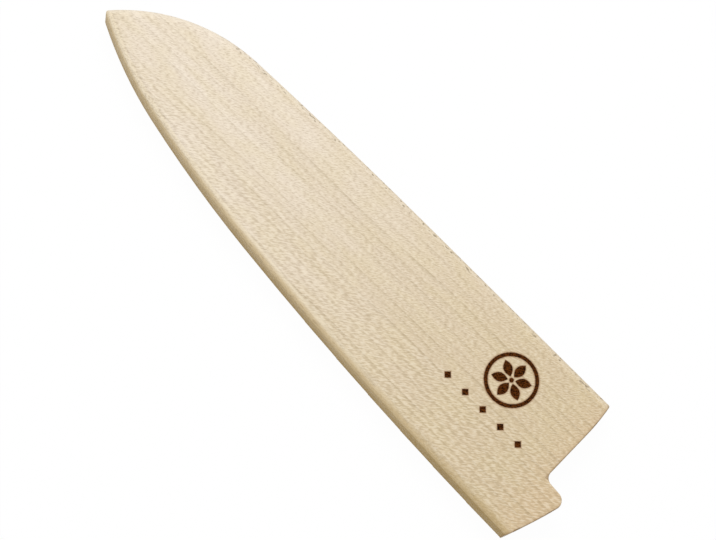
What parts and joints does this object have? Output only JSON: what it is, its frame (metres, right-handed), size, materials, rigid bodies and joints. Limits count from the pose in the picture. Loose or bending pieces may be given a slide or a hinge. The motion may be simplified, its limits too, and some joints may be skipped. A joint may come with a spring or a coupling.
{
  "type": "knife blade guard",
  "caption": "Flat wooden blade guard for a chef's knife: blade-shaped boards round a thin slot, with a notched mouth and a tab over the heel.",
  "frame": {"origin": "middle of the outline's box, on the back cheek's outer face, which the guard lies on", "axes": "+X along the spine from the tip to the mouth, +Y from the cutting-edge side to the spine side, +Z from the back cheek to the front cheek"},
  "size_m": [0.2204, 0.056, 0.012],
  "materials": {
    "cheek_beech": "pale beech, sanded fine, no varnish",
    "strip_beech": "pale beech, sanded fine, no varnish",
    "magnet_nickel": "nickel-plated, smooth"
  },
  "bodies": {
    "root": {"front_cheek": "cheek_beech", "back_cheek": "cheek_beech", "spine_strip": "strip_beech", "edge_strip": "strip_beech", "magnet_front_mouth": "magnet_nickel", "magnet_front_middle": "magnet_nickel", "magnet_back_mouth": "magnet_nickel", "magnet_back_middle": "magnet_nickel"}
  },
  "joints": []
}
